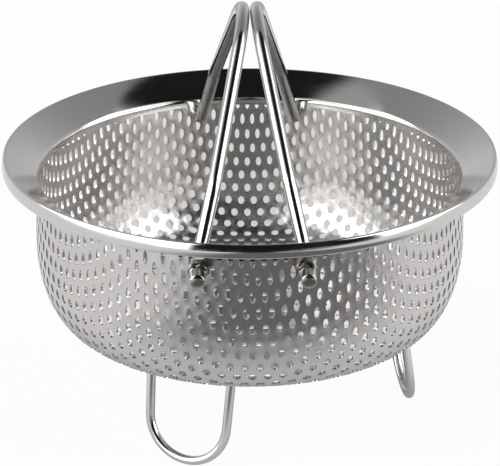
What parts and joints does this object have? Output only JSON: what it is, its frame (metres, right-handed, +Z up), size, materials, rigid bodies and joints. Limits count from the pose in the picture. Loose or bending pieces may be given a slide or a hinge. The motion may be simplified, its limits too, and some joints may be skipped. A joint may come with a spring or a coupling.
{
  "type": "steamer basket",
  "caption": "Perforated stainless steamer basket: round bowl with a wide polished flange, folding arched handles that meet over the middle, and U-shaped wire legs.",
  "frame": {"origin": "on the table under the middle of the bowl, level with the feet", "axes": "+Z up along the bowl's axis, Y along the handle pivots, -Y towards the viewer"},
  "size_m": [0.24, 0.24, 0.211],
  "materials": {
    "satin_sheet": "semi-polished perforated stainless sheet",
    "polished_sheet": "mirror-polished stainless sheet",
    "polished_rod": "polished stainless rod",
    "leg_wire": "bright drawn stainless wire",
    "fastener": "polished stainless fasteners"
  },
  "bodies": {
    "basket": {"perforated_bowl": "satin_sheet", "flange_ring": "polished_sheet", "leg_front_left": "leg_wire", "leg_right": "leg_wire", "leg_back_left": "leg_wire"},
    "left_handle": {"handle_left": "polished_rod", "washer_left_front": "fastener", "washer_left_back": "fastener", "cap_nut_left_front": "fastener", "cap_nut_left_back": "fastener"},
    "right_handle": {"handle_right": "polished_rod", "washer_right_front": "fastener", "washer_right_back": "fastener", "cap_nut_right_front": "fastener", "cap_nut_right_back": "fastener"}
  },
  "joints": [
    {"name": "left_handle_swing", "type": "hinge", "parent": "basket", "child": "left_handle", "pos_m": [-0.02465, 0, 0.1197], "axis": [0, -1, 0], "range_deg": [0, 89.7]},
    {"name": "right_handle_swing", "type": "hinge", "parent": "basket", "child": "right_handle", "pos_m": [0.02465, 0, 0.1197], "axis": [0, 1, 0], "range_deg": [0, 89.7]}
  ]
}
